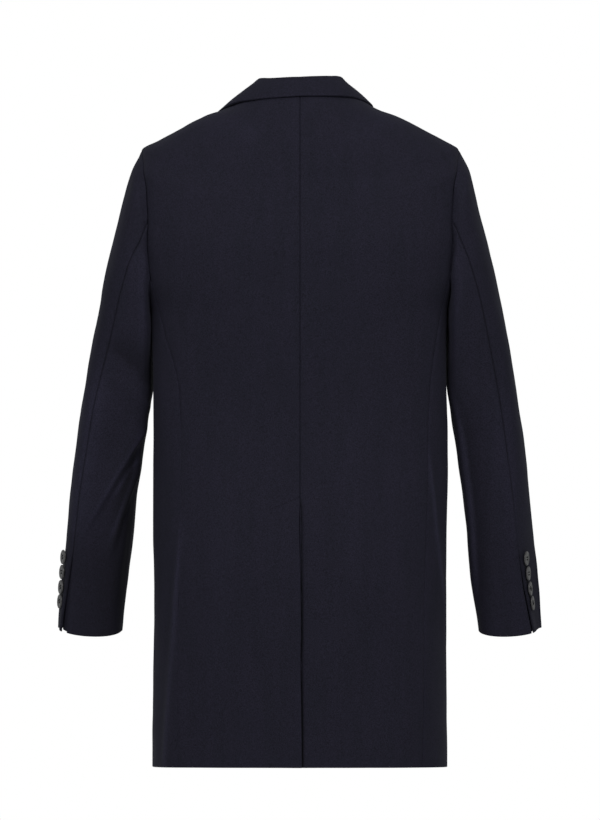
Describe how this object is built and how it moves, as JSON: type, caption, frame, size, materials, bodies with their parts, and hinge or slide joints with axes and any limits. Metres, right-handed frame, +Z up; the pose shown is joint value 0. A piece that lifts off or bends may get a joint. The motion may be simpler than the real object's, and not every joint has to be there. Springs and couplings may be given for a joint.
{
  "type": "single-breasted overcoat",
  "caption": "Plain wool overcoat with turn-down collar, notched lapels, set-in two-piece sleeves, buttoned cuffs and a centre back vent, filled out and hollow as when worn.",
  "frame": {"origin": "middle of the neck at the height where the wearer's shoulders carry the coat", "axes": "+Z up, +Y the way the wearer faces, +X towards the wearer's right"},
  "size_m": [0.6637, 0.2782, 0.9459],
  "materials": {
    "wool": "dark navy brushed wool",
    "horn": "dark grey-brown polished horn"
  },
  "bodies": {
    "root": {"back_left": "wool", "back_right": "wool", "vent_lap": "wool", "side_left": "wool", "side_right": "wool", "front_left": "wool", "front_right": "wool", "lapel_left": "wool", "lapel_right": "wool", "collar": "wool", "sleeve_upper_left": "wool", "sleeve_upper_right": "wool", "sleeve_under_left": "wool", "sleeve_under_right": "wool", "cuff_lap_left": "wool", "cuff_lap_right": "wool", "cuff_button_left_1": "horn", "cuff_button_left_2": "horn", "cuff_button_left_3": "horn", "cuff_button_left_4": "horn", "cuff_button_right_1": "horn", "cuff_button_right_2": "horn", "cuff_button_right_3": "horn", "cuff_button_right_4": "horn", "front_button_1": "horn", "front_button_2": "horn", "front_button_3": "horn"}
  },
  "joints": []
}
